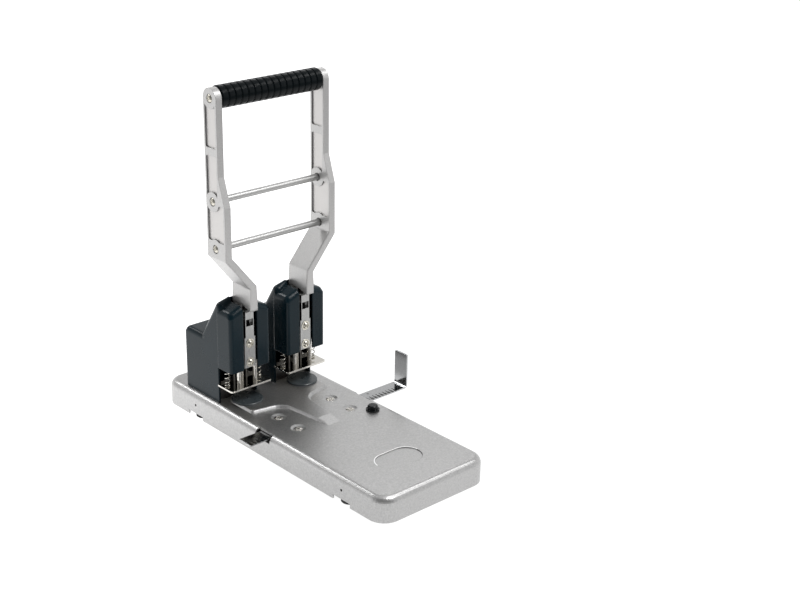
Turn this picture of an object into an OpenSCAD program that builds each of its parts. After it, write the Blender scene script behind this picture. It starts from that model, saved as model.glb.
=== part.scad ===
// Heavy duty two-hole punch, free standing on a desk.
// Millimetres. The origin is the centre of the base on the table, +X to the right,
// +Y to the rear (the heads) and +Z up. The lever is drawn upright, at rest.

/* [Base] */
// Width of the base
base_w = 151; // [140:1:180]
// Length of the base
base_l = 384; // [340:1:440]
// Height of the deck above the table
deck_z = 30; // [28:0.5:40]
// Radius of the base corners, seen from above
base_corner_r = 20; // [12:1:28]
// Radius of the edge round the top of the base
base_edge_r = 8; // [4:0.5:10]
// Thickness of the pressed sheet of the cover
sheet_t = 2; // [1.2:0.1:2.4]
// Gap between the skirt of the cover and the table
skirt_gap = 1.2; // [0.5:0.1:2]
// Thickness of the bottom plate
floor_t = 2; // [1.5:0.1:3]
// Radius of a rubber foot
foot_r = 9; // [6:0.5:10]
// Height of a rubber foot
foot_h = 4; // [3:0.5:6]
// Place of the rear feet along the base
foot_rear_y = 129; // [100:1:140]
// Place of the front feet along the base
foot_front_y = -129; // [-150:1:-120]

/* [Raised pad of the deck] */
// Height of the pressed pad
pad_h = 3; // [1.5:0.1:4]
// Half width of the tongue at its front end
pad_tip_half = 10; // [8:0.5:14]
// Half width of the tongue where it starts to widen
pad_neck_half = 16.5; // [14:0.5:24]
// Half width of the pad at its shoulders
pad_half = 57; // [54:1:62]
// Front end of the tongue
pad_tip_y = -31; // [-60:1:-26]
// Place where the tongue starts to widen
pad_neck_y = 24.5; // [10:0.5:28]
// Radius of the hollow curve between tongue and shoulder
pad_neck_r = 17; // [10:1:18]
// Width of the sloped edge of the pad
pad_bevel = 3.5; // [1.5:0.1:4]
// Length of the long slope at the front end of the tongue
pad_ramp_l = 19; // [8:1:24]

/* [Punching] */
// Distance between the two holes
punch_pitch = 80; // [74:1:90]
// Diameter of a punched hole
hole_d = 6; // [5:0.1:7]
// Wall of the hollow cutter
cutter_wall = 0.8; // [0.5:0.1:1.2]
// Place of the cutters along the base
punch_y = 87; // [84:0.5:90]
// Distance from the hole to the edge of the paper
hole_edge = 12; // [10:0.5:14]
// Height of the gap for the paper
throat_h = 21.5; // [14:0.5:24]
// Turn of the lever from rest to the end of its stroke, in degrees
lever_swing = 72; // [60:1:76]

/* [Cutting discs] */
// Diameter of a cutting disc
disc_d = 36; // [30:1:40]
// Thickness of a cutting disc above the pad
disc_t = 1.8; // [1:0.1:2]
// Place of the centre of a disc along the base
disc_y = 76.3; // [72:0.1:80]
// Diameter of the hub under a disc
disc_hub_d = 10; // [8:0.5:14]

/* [Head housings] */
// Width of a housing
housing_w = 55; // [52:0.5:62]
// Wall of a housing
housing_wall = 2; // [1.5:0.1:2.6]
// Height of the towers above the deck
tower_h = 126; // [122:1:134]
// Step from the tower tops down to the columns in front of them
column_drop = 5; // [3:0.5:8]
// Fall of the column tops from the slot to their sides
column_fall = 4.5; // [0:0.5:6]
// Fall of the tower tops from the slot to their sides
tower_fall = 3.5; // [0:0.5:5]
// Rear of the columns
column_rear_y = 93; // [92:0.5:98]
// Height of the rear block above the deck
block_h = 75; // [70:1:84]
// Height of the lower edge of the towers above the deck
tower_lift = 44; // [42:0.5:48]
// Front of the towers
tower_front_y = 67.7; // [66:0.1:68.5]
// Rear end of the tower tops
tower_rear_y = 99; // [97:0.5:104]
// Foot of the slope behind the towers
slope_foot_y = 125; // [122:0.5:132]
// Rear of the housings
housing_rear_y = 159; // [157:1:168]
// Radius of the edges at the top of a tower
tower_r = 6; // [4:0.5:8]
// Width of the slot that the lever moves in
slot_w = 19.4; // [17.5:0.1:20]

/* [Head frames] */
// Thickness of the steel plates of a head frame
frame_t = 2; // [1.6:0.1:2.6]
// Thickness of the stripper plate
stripper_t = 2; // [1.2:0.1:2.4]
// Width of the stripper plate
stripper_w = 56.6; // [54:0.2:62]
// Front edge of the stripper plate
stripper_front_y = 66.5; // [62:0.1:68]
// Height of the lever pivot above the deck
pivot_h = 98; // [96:0.5:102]
// Diameter of the pivot pin
pivot_d = 8; // [6:0.5:9]
// Radius of a guide post
post_r = 2.7; // [2:0.05:3]
// Distance of a guide post from the centre of its head
post_x = 11.2; // [11:0.1:13]
// Outer radius of a return spring
spring_r = 3.2; // [2.8:0.1:3.6]
// Distance of a return spring from the centre of its head
spring_x = 22; // [20:0.1:22]
// Thickness of the spring wire
spring_wire_d = 1.1; // [0.8:0.05:1.3]
// Curls of a return spring
spring_curls = 9; // [7:1:10]

/* [Plungers] */
// Width of the lower block of a plunger
plunger_w = 14.6; // [13:0.1:14.6]
// Width of the yoke at the top of a plunger
yoke_w = 11.4; // [11:0.1:12.6]
// Diameter of the drive pin
drive_pin_d = 5; // [4:0.1:5.5]
// Height of the plunger foot above the deck, at rest
plunger_lift = 45.5; // [44:0.5:48]
// Radius of the head of a clamp screw
clamp_head_r = 4; // [3:0.1:4.4]

/* [Lever] */
// Distance between the middles of the two upper arms
arm_spread = 144.4; // [130:0.2:160]
// Thickness of an arm
arm_t = 8; // [6:0.2:9]
// Width of the upper stretch of an arm
arm_w = 22.8; // [20:0.2:26]
// Width of the lower stretch of an arm
arm_low_w = 33; // [30:0.5:33.5]
// Rear edge of the arms
arm_rear_y = 93; // [92:0.1:93.6]
// Height of the grip above the table
grip_z = 386; // [370:1:420]
// Height of the upper rod above the table
rod_upper_z = 274; // [268:1:280]
// Height of the lower rod above the table
rod_lower_z = 221.5; // [220:0.5:226]
// Radius of a rod
rod_r = 3.75; // [3:0.05:4.5]
// Radius of the grip
grip_r = 12.6; // [11:0.1:14]
// Rings of the grip
grip_rings = 16; // [10:1:20]
// Depth of the panels in the faces of the arms
panel_depth = 1.5; // [0.6:0.1:2]

/* [Paper gauge] */
// Width of the gauge bar
gauge_w = 20; // [16:0.5:22]
// Thickness of the gauge bar
gauge_t = 1.7; // [1.2:0.1:2]
// Place of the gauge bar along the base
gauge_y = 2.5; // [0:0.1:5]
// Reach of the gauge bar to the left of the base centre
gauge_left = 99.6; // [90:0.1:110]
// Reach of the gauge bar to the right of the base centre
gauge_right = 130.6; // [120:0.1:150]
// Height of the top of the stop above the table
stop_z = 67.5; // [50:0.5:80]
// Place of the lock knob across the base
knob_x = 54.5; // [44:0.5:58]
// Place of the lock knob along the base
knob_y = -32; // [-36:0.5:-28]

/* [Hidden] */
$fn = 48;
hull_fn = 32;
sides = [-1, 1];

// Clearances
running = 0.06;
snug = 0.02;
loose = 0.3;
seat_gap = 0.1;
overrun = 1;

// Derived heights and places of the base
half_w = base_w / 2;

// The origin lies under the middle of the whole object, gauge included
frame_x = (gauge_left - gauge_right) / 2;
half_l = base_l / 2;
floor_z = foot_h;
foot_x = half_w - sheet_t - foot_r - loose;
sheet_z = deck_z - sheet_t;
pad_z = deck_z + pad_h;
backstop_y = punch_y + hole_edge;
backstop_t = 1.5;
pad_setback = 5.7;
pad_rear_y = backstop_y - pad_setback;
pad_embed = sheet_t / 2;
pad_sink = 0.3;
pad_corner_r = 6;
pad_tip_r = 4.5;

// Cut-outs low in the skirt, one beside each foot
skirt_cut_z = 6;
skirt_cut_l = 27;
skirt_hole_r = 1.5;
skirt_hole_z = 16.5;

// Dimples of the deck screws
dimple_r = 8.6;
dimple_floor_r = 5.6;
dimple_depth = 1.2;
dimple_boss_r = 9;
dimple_boss_drop = 2.9;
dimple_boss_z = deck_z - dimple_boss_drop;
deck_screw_x = 37.5;
deck_screw_rear_y = 22;
deck_screw_front_y = -12.5;
deck_screw_r = 2;
deck_head_r = 5;
deck_head_h = 1.2;
standoff_r = 4.5;
ear_r = 6;

// Oval recess in the front of the deck
recess_y = -134;
recess_r = 17;
recess_half = 11;
recess_depth = 0.8;

// Gauge channel, its notches and the clamp
bar_drop = 3;
bar_top_z = deck_z - bar_drop;
bar_z = bar_top_z - gauge_t;
guide_t = 2;
guide_z = bar_z - 2 * seat_gap - guide_t;
notch_fore = 12;
notch_back = 14;
notch_reach = 6.5;
notch_drop = 1.6;
notch_z = guide_z - notch_drop;
stop_bend_r = 3;
stop_corner_r = 2;
bar_hole_r = 1.5;
bar_hole_x = 81.6;
bar_hole_dy = 4.7;
clamp_w = 14;
clamp_t = 1.5;
clamp_window = 9;
knob_flange_r = 7.75;
knob_flange_t = 1.6;
knob_r = 6;
knob_h = 6.4;
knob_dome_r = 2;
stud_r = 2.5;
stud_drop = 3;

// Cutting discs
disc_z = pad_z + seat_gap;
disc_top_z = disc_z + disc_t;
disc_edge = 0.5;
disc_hole_r = 1.4;
disc_hub_drop = 2;

// Heights of the heads
tip_in = 0.7;
stripper_z = deck_z + throat_h;
stripper_top_z = stripper_z + stripper_t;
tip_z = stripper_z + tip_in;
stroke = tip_z - disc_top_z - loose;
tower_z = deck_z + tower_h;
block_z = deck_z + block_h;
tower_low_z = deck_z + tower_lift;
pivot_z = deck_z + pivot_h;
cutter_r = hole_d / 2;
wall_setback = 5.5;
wall_front_y = backstop_y - wall_setback;
block_r = 6;
tower_edge_r = 4;
slot_room = 2.5;
slot_rear_y = arm_rear_y + slot_room;
housing_half = housing_w / 2;
column_z = tower_z - column_drop;
column_r = 7;
column_step = 0.6;
body_half = housing_half - column_step;
column_lap = 6;
body_front_y = column_rear_y - column_lap;
crest_round = 0.5;
crest_r = housing_wall + crest_round;
crest_y = tower_rear_y - tower_r;

// Plunger, drive pin and pivot, worked out from the stroke
drive_r = stroke / 2 / sin(lever_swing / 2);
drive_pin_r = drive_pin_d / 2;
nose_wall = 1.4;
nose_r = drive_pin_r + nose_wall;
nose_half = 2.8;
nose_gap = loose;
yoke_wall = 2.2;
yoke_play = 0.34;
plunger_setback = 1.3;
plunger_front_y = tower_front_y + plunger_setback;
nose_room = 0.5;
pivot_y = plunger_front_y + yoke_wall + nose_room + nose_r + drive_r;
pivot_r = pivot_d / 2;
pin_y = pivot_y - drive_r * cos(lever_swing / 2);
pin_z = pivot_z + drive_r * sin(lever_swing / 2);
yoke_rear_wall = 0.9;
yoke_rear_y = pin_y + drive_pin_r + yoke_rear_wall;
yoke_top_wall = 4.5;
yoke_top_z = pin_z + drive_pin_r + yoke_top_wall;
yoke_chamfer = 1.2;
plunger_z = deck_z + plunger_lift;
plunger_rear_wall = 2.6;
plunger_rear_y = punch_y + cutter_r + plunger_rear_wall;
yoke_drop = 16;
yoke_z = pivot_z - yoke_drop;
wing_t = 4;
wing_rise = 19.5;
wing_z = plunger_z + wing_rise;
wing_setback = 2.4;
wing_front_y = plunger_front_y + wing_setback;
wing_rear_gap = 1;
wing_rear_y = punch_y - wing_rear_gap;
post_setback = 7;
post_y = plunger_front_y + post_setback;
spring_setback = 14.5;
spring_y = plunger_front_y + spring_setback;
spring_cup_rim = 0.3;
spring_cup_r = spring_r + spring_cup_rim;
wing_half = spring_x;
clamp_low_rim = 2.2;
clamp_low_z = plunger_z + clamp_head_r + clamp_low_rim;
clamp_pitch = 23;
clamp_high_z = clamp_low_z + clamp_pitch;
clamp_shank_r = 2;
clamp_shank_l = 11;
clamp_head_h = 2.7;
washer_rim = 1.6;
washer_r = clamp_head_r + washer_rim;
washer_t = 0.6;
window_drop = 2.5;
window_z = pivot_z - window_drop;
window_rib = 0.9;
cutter_top_drop = 2;
cutter_top_z = yoke_z - cutter_top_drop;

// Frame plates
frame_gap = plunger_w + 2 * loose;
frame_half = frame_gap / 2 + frame_t;
frame_foot_t = 3;
frame_foot_gap = 2.9;
frame_foot_half = body_half - housing_wall - frame_foot_gap;
frame_y = backstop_y + backstop_t;
frame_rear_gap = 7;
frame_rear_y = housing_rear_y - housing_wall - frame_rear_gap;
frame_front_gap = 2.6;
frame_front_y = wing_rear_y + frame_front_gap;
frame_nose_wall = 5;
frame_nose_y = pivot_y - pivot_r - frame_nose_wall;
frame_top_gap = 5.5;
frame_top_z = column_z - column_fall - housing_wall - frame_top_gap;
frame_crest_gap = 1;
frame_top_rear_y = tower_rear_y - frame_crest_gap;
frame_block_gap = 7;
frame_block_z = block_z - frame_block_gap;
jaw_gap = 0.7;
frame_slope_gap = 2;
frame_nose_drop = 8;
frame_chin_drop = 4;
jaw_y = plunger_rear_y + jaw_gap;
jaw_t = 2.4;
jaw_side_gap = 0.6;
jaw_half = body_half - housing_wall - loose - jaw_side_gap;
stripper_screw_r = 1.5;
stripper_head_r = 2.7;
stripper_screw_gap = 3.7;
stripper_screw_x = frame_half + stripper_head_r + stripper_screw_gap;
stripper_head_h = 1.4;
post_top = 3;
post_shank_r = 1.8;
stripper_corner_r = 3;
stripper_rear_half = body_half - housing_wall - loose;
frame_screw_r = 2.5;
frame_screw_inset = 9;
frame_head_r = 4.2;
frame_screw_gap = 1.7;
frame_screw_x = frame_half + frame_head_r + frame_screw_gap;
frame_head_h = 3;
pin_head_r = 5.4;
pin_head_t = 1.2;

// Arms
rod_lower_share = 0.56;
arm_x = arm_spread / 2;
root_x = punch_pitch / 2;
arm_front_y = arm_rear_y - arm_w;
arm_low_front_y = arm_rear_y - arm_low_w;
arm_mid_y = arm_rear_y - arm_w / 2;
rod_lower_y = arm_low_front_y + arm_low_w * rod_lower_share;
taper_drop = 3;
taper_low_z = rod_upper_z - taper_drop;
taper_rise = 29;
taper_top_z = rod_upper_z + taper_rise;
crank_drop = 10.5;
crank_top_z = rod_lower_z - crank_drop;
root_rise = 22;
root_low_z = pivot_z + root_rise;
root_bevel_rise = 7;
root_bevel_z = root_low_z + root_bevel_rise;
root_l = 22;
crank_low_z = root_low_z + root_l;
root_half = 5;
root_drop = 4;
root_drop_l = 15;
crank_angle = atan2(crank_top_z - crank_low_z, arm_x - root_x);
mitre = arm_t * tan((90 - crank_angle) / 2);
bend_r = 3;
hub_gap = 0.6;
hub_r = pivot_y - yoke_rear_y - hub_gap;
link_reach = 1.2;
link_front_y = pivot_y - link_reach;
boss_r = 11;
panel_rim = 2.5;
panel_r = 2.4;
panel_low_rim = 2.6;
panel_low_rise = 9;
panel_low_z = rod_lower_z + panel_low_rise;
panel_split = 55;
panel_split_z = rod_upper_z + panel_split;
panel_rib = 4.3;
arm_bore_r = 2.5;
arm_head_r = 4.5;
arm_head_h = 2.6;
arm_head_seat = 0.9;
rod_seat = 1.2;
rod_seat_rim = 0.9;
rod_seat_r = rod_r + rod_seat_rim;
screw_reach = 10;
grip_core_r = 9.4;
grip_groove = 1.1;
ring_shares = [[0, 1], [0.06, 0.45], [0.15, 0.06], [0.5, 0], [0.85, 0.06], [0.94, 0.45]];
grip_end_gap = 0.8;

// Helpers

module rounded_rect(w, l, r) {
    square([w, l - 2 * r], center = true);
    square([w - 2 * r, l], center = true);
    for (sx = sides, sy = sides) {
        translate([sx * (w / 2 - r), sy * (l / 2 - r)]) circle(r);
    }
}

// A slab with round corners whose top edge is rolled over with the radius e
module rolled_slab(w, l, h, r, e) {
    hull() {
        for (sx = sides, sy = sides) {
            translate([sx * (w / 2 - r), sy * (l / 2 - r), 0]) {
                cylinder(r = r, h = h - e, $fn = hull_fn);
                translate([0, 0, h - e]) {
                    rotate_extrude($fn = hull_fn) {
                        translate([r - e, 0]) {
                            intersection() {
                                circle(e, $fn = hull_fn);
                                square(e);
                            }
                        }
                    }
                }
            }
        }
    }
}

// Extrudes a side view, drawn as [y, z], to both sides of x = 0
module side_extrude(half) {
    rotate([90, 0, 90]) {
        linear_extrude(2 * half, center = true) children();
    }
}

// Extrudes a front view, drawn as [x, z], from y0 to y1
module front_extrude(y0, y1) {
    translate([0, y1, 0]) {
        rotate([90, 0, 0]) {
            linear_extrude(y1 - y0) children();
        }
    }
}

// A box from its lowest to its highest corner
module block(low, high) {
    translate(low) cube(high - low);
}

// A cylinder along X from x0 to x1
module x_rod(x0, x1, r, y, z) {
    translate([x0, y, z]) {
        rotate([0, 90, 0]) cylinder(r = r, h = x1 - x0);
    }
}

// A cylinder along Y from y0 to y1
module y_rod(y0, y1, r, x, z) {
    translate([x, y1, z]) {
        rotate([90, 0, 0]) cylinder(r = r, h = y1 - y0);
    }
}

// A domed screw head that stands on z = 0, with a cross in its top
module dome_head(r, h) {
    ball_r = (r * r + h * h) / 2 / h;
    cross_w = r / 4;
    cross_l = r;
    difference() {
        rotate_extrude() {
            intersection() {
                translate([0, h - ball_r]) circle(ball_r);
                square([r, h]);
            }
        }
        for (a = [0, 90]) {
            rotate(a) {
                translate([-cross_l / 2, -cross_w / 2, h * 0.62]) cube([cross_l, cross_w, h]);
            }
        }
    }
}

module at_head(side) {
    translate([side * punch_pitch / 2, 0, 0]) children();
}

module at_deck_screws() {
    for (sx = sides, y = [deck_screw_front_y, deck_screw_rear_y]) {
        translate([sx * deck_screw_x, y, 0]) children();
    }
}

// Raised pad of the deck

// Points of an arc about c from the angle a0 to a1, with n steps
function arc(c, r, a0, a1, n) = [for (i = [0:n]) let (a = a0 + (a1 - a0) * i / n) c + r * [cos(a), sin(a)]];

pad_steps = 6;
pad_tip_steps = 3;
pad_ramp_y = pad_tip_y + pad_ramp_l;
pad_ramp_half = pad_tip_half + (pad_neck_half - pad_tip_half) * pad_ramp_l / (pad_neck_y - pad_tip_y);
pad_hollow = [pad_neck_half + pad_neck_r, pad_neck_y];
pad_shoulder_rise = 6.5;
pad_shoulder_y = pad_neck_y + pad_neck_r + pad_shoulder_rise;
pad_right = concat(
    arc([pad_tip_half - pad_tip_r, pad_tip_y + pad_tip_r], pad_tip_r, -90, 0, pad_tip_steps),
    [[pad_ramp_half, pad_ramp_y]],
    arc(pad_hollow, pad_neck_r, 180, 100, pad_steps),
    arc([pad_half - pad_corner_r, pad_shoulder_y + pad_corner_r / 2], pad_corner_r, -80, 0, pad_steps),
    arc([pad_half - pad_corner_r, pad_rear_y - pad_corner_r], pad_corner_r, 0, 90, pad_steps)
);
pad_outline = concat(pad_right, [for (i = [len(pad_right) - 1:-1:0]) [-pad_right[i][0], pad_right[i][1]]]);

function unit(v) = v / norm(v);
function left_of(v) = [-v[1], v[0]];

// The outline drawn in by d all round; the points at the top of the slope keep their place along it
function inset(p, d) = [
    for (i = [0:len(p) - 1])
        let (
            a = unit(p[(i + 1) % len(p)] - p[i]),
            b = unit(p[i] - p[(i + len(p) - 1) % len(p)]),
            q = p[i] + d * unit(left_of(a) + left_of(b))
        )
            [q[0], p[i][1] == pad_ramp_y ? pad_ramp_y : q[1]]
];

// The pressed edge rises in an even curve, one loop of points at a time, from just inside the sheet
pad_rise_shares = [0, 0.15, 0.55, 0.9, 1];

// Height of a point of the pad: the long slope at the front end cuts the pressed edge down
function pad_height(y, share) = deck_z - pad_sink + (pad_h + pad_sink) * min(share, (y - pad_tip_y) / pad_ramp_l);

module pad_solid() {
    loops = concat(
        [[for (q = pad_outline) [q[0], q[1], deck_z - pad_embed]]],
        [
            for (k = [0:len(pad_rise_shares) - 1])
                let (loop = inset(pad_outline, pad_bevel * k / (len(pad_rise_shares) - 1)))
                    [for (q = loop) [q[0], q[1], pad_height(q[1], pad_rise_shares[k])]]
        ]
    );
    n = len(pad_outline);
    m = len(loops);
    sides_faces = [
        for (k = [0:m - 2], i = [0:n - 1])
            let (a = k * n + i, b = k * n + (i + 1) % n)
                each [[a, a + n, b + n], [a, b + n, b]]
    ];
    top = (m - 1) * n;
    across = [
        for (i = [0:n / 2 - 2])
            let (j = n - 1 - i)
                each [[i, i + 1, j - 1], [i, j - 1, j], [top + i, top + j - 1, top + i + 1], [top + i, top + j, top + j - 1]]
    ];
    polyhedron([for (loop = loops) each loop], concat(across, sides_faces));
}

// Base

module base_cover() color("silver") {
    difference() {
        union() {
            translate([0, 0, skirt_gap]) rolled_slab(base_w, base_l, deck_z - skirt_gap, base_corner_r, base_edge_r);
            pad_solid();
        }
        difference() {
            translate([0, 0, skirt_gap - overrun]) {
                rolled_slab(
                    base_w - 2 * sheet_t, base_l - 2 * sheet_t, sheet_z - skirt_gap + overrun,
                    base_corner_r - sheet_t, base_edge_r - sheet_t
                );
            }
            at_deck_screws() translate([0, 0, dimple_boss_z]) cylinder(r = dimple_boss_r, h = deck_z);
        }
        at_deck_screws() {
            translate([0, 0, deck_z - dimple_depth]) {
                cylinder(r1 = dimple_floor_r, r2 = dimple_r, h = dimple_depth);
            }
            cylinder(r = deck_screw_r + running, h = deck_z);
        }
        for (sx = sides) {
            translate([sx * punch_pitch / 2, disc_y, 0]) cylinder(r = disc_hub_d / 2 + running, h = pad_z + overrun);
            skirt_cuts(sx);
            gauge_notch(sx);
        }
        translate([knob_x, knob_y, 0]) cylinder(r = stud_r + running, h = deck_z + overrun);
        deck_recess();
    }
}

module skirt_cuts(side) {
    for (y = [foot_rear_y, foot_front_y]) {
        x0 = side * (half_w - sheet_t / 2) - sheet_t;
        block([x0, y - skirt_cut_l / 2, 0], [x0 + 2 * sheet_t, y + skirt_cut_l / 2, skirt_cut_z]);
        x_rod(x0, x0 + 2 * sheet_t, skirt_hole_r, y, skirt_hole_z);
    }
}

module gauge_notch(side) {
    x0 = side > 0 ? half_w - notch_reach : -half_w - overrun;
    block(
        [x0, gauge_y - notch_fore, notch_z],
        [x0 + notch_reach + overrun, gauge_y + notch_back, deck_z + overrun]
    );
}

module deck_recess() {
    translate([0, recess_y, deck_z - recess_depth]) {
        linear_extrude(2 * recess_depth) {
            square([2 * recess_half, 2 * recess_r], center = true);
            for (sx = sides) translate([sx * recess_half, 0]) circle(recess_r);
        }
    }
}

module base_floor() color("dimgray") {
    translate([0, 0, floor_z]) {
        linear_extrude(floor_t) {
            rounded_rect(
                base_w - 2 * sheet_t - 2 * loose, base_l - 2 * sheet_t - 2 * loose, base_corner_r - sheet_t - loose
            );
        }
    }
    difference() {
        at_deck_screws() translate([0, 0, floor_z]) cylinder(r = standoff_r, h = guide_z - floor_z);
        at_deck_screws() translate([0, 0, floor_z + floor_t]) cylinder(r = deck_screw_r + snug, h = deck_z);
    }
}

module rubber_feet() color("black") {
    edge = foot_h / 5;
    for (sx = sides, y = [foot_rear_y, foot_front_y]) {
        translate([sx * foot_x, y, 0]) {
            cylinder(r1 = foot_r - edge, r2 = foot_r, h = edge);
            translate([0, 0, edge]) cylinder(r = foot_r, h = foot_h - edge);
        }
    }
}

module deck_screws() color("gainsboro") {
    at_deck_screws() {
        translate([0, 0, floor_z + 2 * floor_t]) cylinder(r = deck_screw_r, h = deck_z - dimple_depth - floor_z - 2 * floor_t);
        translate([0, 0, deck_z - dimple_depth]) dome_head(deck_head_r, deck_head_h);
    }
}

// Paper gauge

module gauge_guide() color("darkgray") {
    inner = gauge_w / 2 + loose;
    outer = inner + guide_t;
    half = half_w - notch_reach - loose;
    difference() {
        union() {
            block([-half, gauge_y - outer, guide_z], [half, gauge_y + outer, dimple_boss_z]);
            at_deck_screws() translate([0, 0, guide_z]) cylinder(r = ear_r, h = dimple_boss_z - guide_z);
            for (sx = sides) {
                block(
                    [sx * deck_screw_x - ear_r, deck_screw_front_y, guide_z],
                    [sx * deck_screw_x + ear_r, deck_screw_rear_y, dimple_boss_z]
                );
            }
        }
        block([-half - overrun, gauge_y - inner, guide_z + guide_t], [half + overrun, gauge_y + inner, deck_z]);
        at_deck_screws() cylinder(r = deck_screw_r + running, h = deck_z);
        block(
            [knob_x - clamp_window / 2 - loose, gauge_y - gauge_w / 2, guide_z - overrun],
            [knob_x + clamp_window / 2 + loose, gauge_y + loose, deck_z]
        );
    }
}

module gauge_clamp() color("darkgray") {
    difference() {
        union() {
            block(
                [knob_x - clamp_w / 2, knob_y - clamp_w / 2, guide_z - clamp_t],
                [knob_x + clamp_w / 2, gauge_y, guide_z]
            );
            block(
                [knob_x - clamp_window / 2, gauge_y - gauge_w / 2 + loose, guide_z - clamp_t],
                [knob_x + clamp_window / 2, gauge_y, bar_z - seat_gap]
            );
        }
        translate([knob_x, knob_y, 0]) cylinder(r = stud_r + running, h = deck_z);
    }
}

module gauge_bar() color("gainsboro") {
    outer_r = stop_bend_r + gauge_t;
    bend = [gauge_right - outer_r, bar_z + outer_r];
    difference() {
        front_extrude(gauge_y - gauge_w / 2, gauge_y + gauge_w / 2) {
            translate([-gauge_left, bar_z]) square([gauge_left + bend[0], gauge_t]);
            translate([gauge_right - gauge_t, bend[1]]) square([gauge_t, stop_z - bend[1]]);
            intersection() {
                translate(bend) {
                    difference() {
                        circle(outer_r);
                        circle(stop_bend_r);
                    }
                }
                translate([bend[0], bar_z]) square(outer_r);
            }
        }
        translate([bar_hole_x, gauge_y + bar_hole_dy, 0]) cylinder(r = bar_hole_r, h = deck_z);
        for (sy = sides) {
            stop_corner(sy);
        }
    }
}

// Rounds one upper corner of the stop
module stop_corner(side) {
    translate([gauge_right - gauge_t / 2, gauge_y + side * (gauge_w / 2 - stop_corner_r), stop_z - stop_corner_r]) {
        rotate([90, 0, 90]) {
            linear_extrude(2 * gauge_t, center = true) {
                difference() {
                    translate([side > 0 ? 0 : -2 * stop_corner_r, 0]) square(2 * stop_corner_r);
                    circle(stop_corner_r);
                }
            }
        }
    }
}

module lock_knob() color([0.12, 0.12, 0.13]) {
    translate([knob_x, knob_y, deck_z + seat_gap]) {
        difference() {
            rotate_extrude() {
                square([knob_flange_r, knob_flange_t]);
                square([knob_r, knob_h - knob_dome_r]);
                square([knob_r - knob_dome_r, knob_h]);
                translate([knob_r - knob_dome_r, knob_h - knob_dome_r]) circle(knob_dome_r);
            }
            translate([0, 0, -overrun]) cylinder(r = stud_r + snug, h = knob_h / 2 + overrun);
        }
    }
}

module lock_stud() color("darkgray") {
    translate([knob_x, knob_y, guide_z - clamp_t - stud_drop]) {
        cylinder(r = stud_r, h = deck_z + seat_gap + knob_h / 2 - guide_z + clamp_t + stud_drop);
        cylinder(r = 1.6 * stud_r, h = stud_drop - seat_gap);
    }
}

// Cutting discs

module cutting_disc(side) color([0.13, 0.13, 0.14]) {
    at_head(side) {
        translate([0, disc_y, 0]) {
            difference() {
                union() {
                    translate([0, 0, disc_z]) {
                        cylinder(r = disc_d / 2, h = disc_t - disc_edge);
                        translate([0, 0, disc_t - disc_edge]) {
                            cylinder(r1 = disc_d / 2, r2 = disc_d / 2 - disc_edge, h = disc_edge);
                        }
                    }
                    translate([0, 0, sheet_z - disc_hub_drop]) {
                        cylinder(r = disc_hub_d / 2, h = disc_z - sheet_z + disc_hub_drop);
                    }
                }
                cylinder(r = disc_hole_r, h = disc_top_z + overrun);
            }
        }
    }
}

// Head frames and what is fixed to them

module head_frame(side) color("gray") {
    at_head(side) {
        difference() {
            union() {
                difference() {
                    side_extrude(frame_half) frame_outline();
                    side_extrude(frame_gap / 2) {
                        translate([0, 0]) square([2 * housing_rear_y, 2 * tower_z]);
                    }
                }
                block([-frame_half, frame_rear_y - frame_t, deck_z], [frame_half, frame_rear_y, frame_block_z]);
                block([-frame_foot_half, frame_y, deck_z], [frame_foot_half, frame_rear_y, deck_z + frame_foot_t]);
                block([-jaw_half, jaw_y, stripper_top_z], [jaw_half, frame_y, stripper_top_z + jaw_t]);
            }
            x_rod(-housing_w, housing_w, pivot_r + snug, pivot_y, pivot_z);
            frame_bolts() cylinder(r = frame_screw_r + snug, h = tower_low_z);
            stripper_bolts() cylinder(r = stripper_screw_r + snug, h = tower_low_z);
        }
    }
}

module frame_outline() {
    polygon([
        [frame_y, deck_z],
        [frame_rear_y, deck_z],
        [frame_rear_y, frame_block_z],
        [slope_foot_y - frame_slope_gap, frame_block_z],
        [frame_top_rear_y, frame_top_z],
        [frame_nose_y, frame_top_z],
        [frame_nose_y, pivot_z - pivot_r - frame_nose_drop],
        [frame_front_y, yoke_z - frame_chin_drop],
        [frame_front_y, stripper_top_z],
        [frame_y, stripper_top_z]
    ]);
}

module frame_bolts() {
    for (sx = sides, y = [frame_y + frame_screw_inset, frame_rear_y - frame_screw_inset]) {
        translate([sx * frame_screw_x, y, 0]) children();
    }
}

module stripper_bolts() {
    for (sx = sides) {
        translate([sx * stripper_screw_x, (jaw_y + backstop_y) / 2, 0]) children();
    }
}

module frame_screws(side) color("gainsboro") {
    at_head(side) {
        frame_bolts() {
            translate([0, 0, deck_z + snug]) cylinder(r = frame_screw_r, h = frame_foot_t);
            translate([0, 0, deck_z + frame_foot_t]) cylinder(r = frame_head_r, h = frame_head_h, $fn = 6);
        }
    }
}

module paper_backstop(side) color("silver") {
    half = body_half - housing_wall - loose;
    at_head(side) block([-half, backstop_y, deck_z], [half, frame_y, stripper_z]);
}

module stripper_plate(side) color("gainsboro") {
    at_head(side) {
        difference() {
            translate([0, 0, stripper_z]) {
                linear_extrude(stripper_t) {
                    difference() {
                        translate([-stripper_w / 2, stripper_front_y]) {
                            square([stripper_w, wall_front_y - loose - stripper_front_y]);
                        }
                        for (sx = sides) stripper_corner(sx);
                    }
                    translate([-stripper_rear_half, stripper_front_y + stripper_corner_r]) {
                        square([2 * stripper_rear_half, frame_y - stripper_front_y - stripper_corner_r]);
                    }
                }
            }
            translate([0, punch_y, 0]) cylinder(r = cutter_r + running, h = tower_low_z);
            for (sx = sides) {
                translate([sx * post_x, post_y, 0]) cylinder(r = post_shank_r + snug, h = tower_low_z);
            }
            stripper_bolts() cylinder(r = stripper_screw_r + snug, h = tower_low_z);
        }
    }
}

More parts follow.
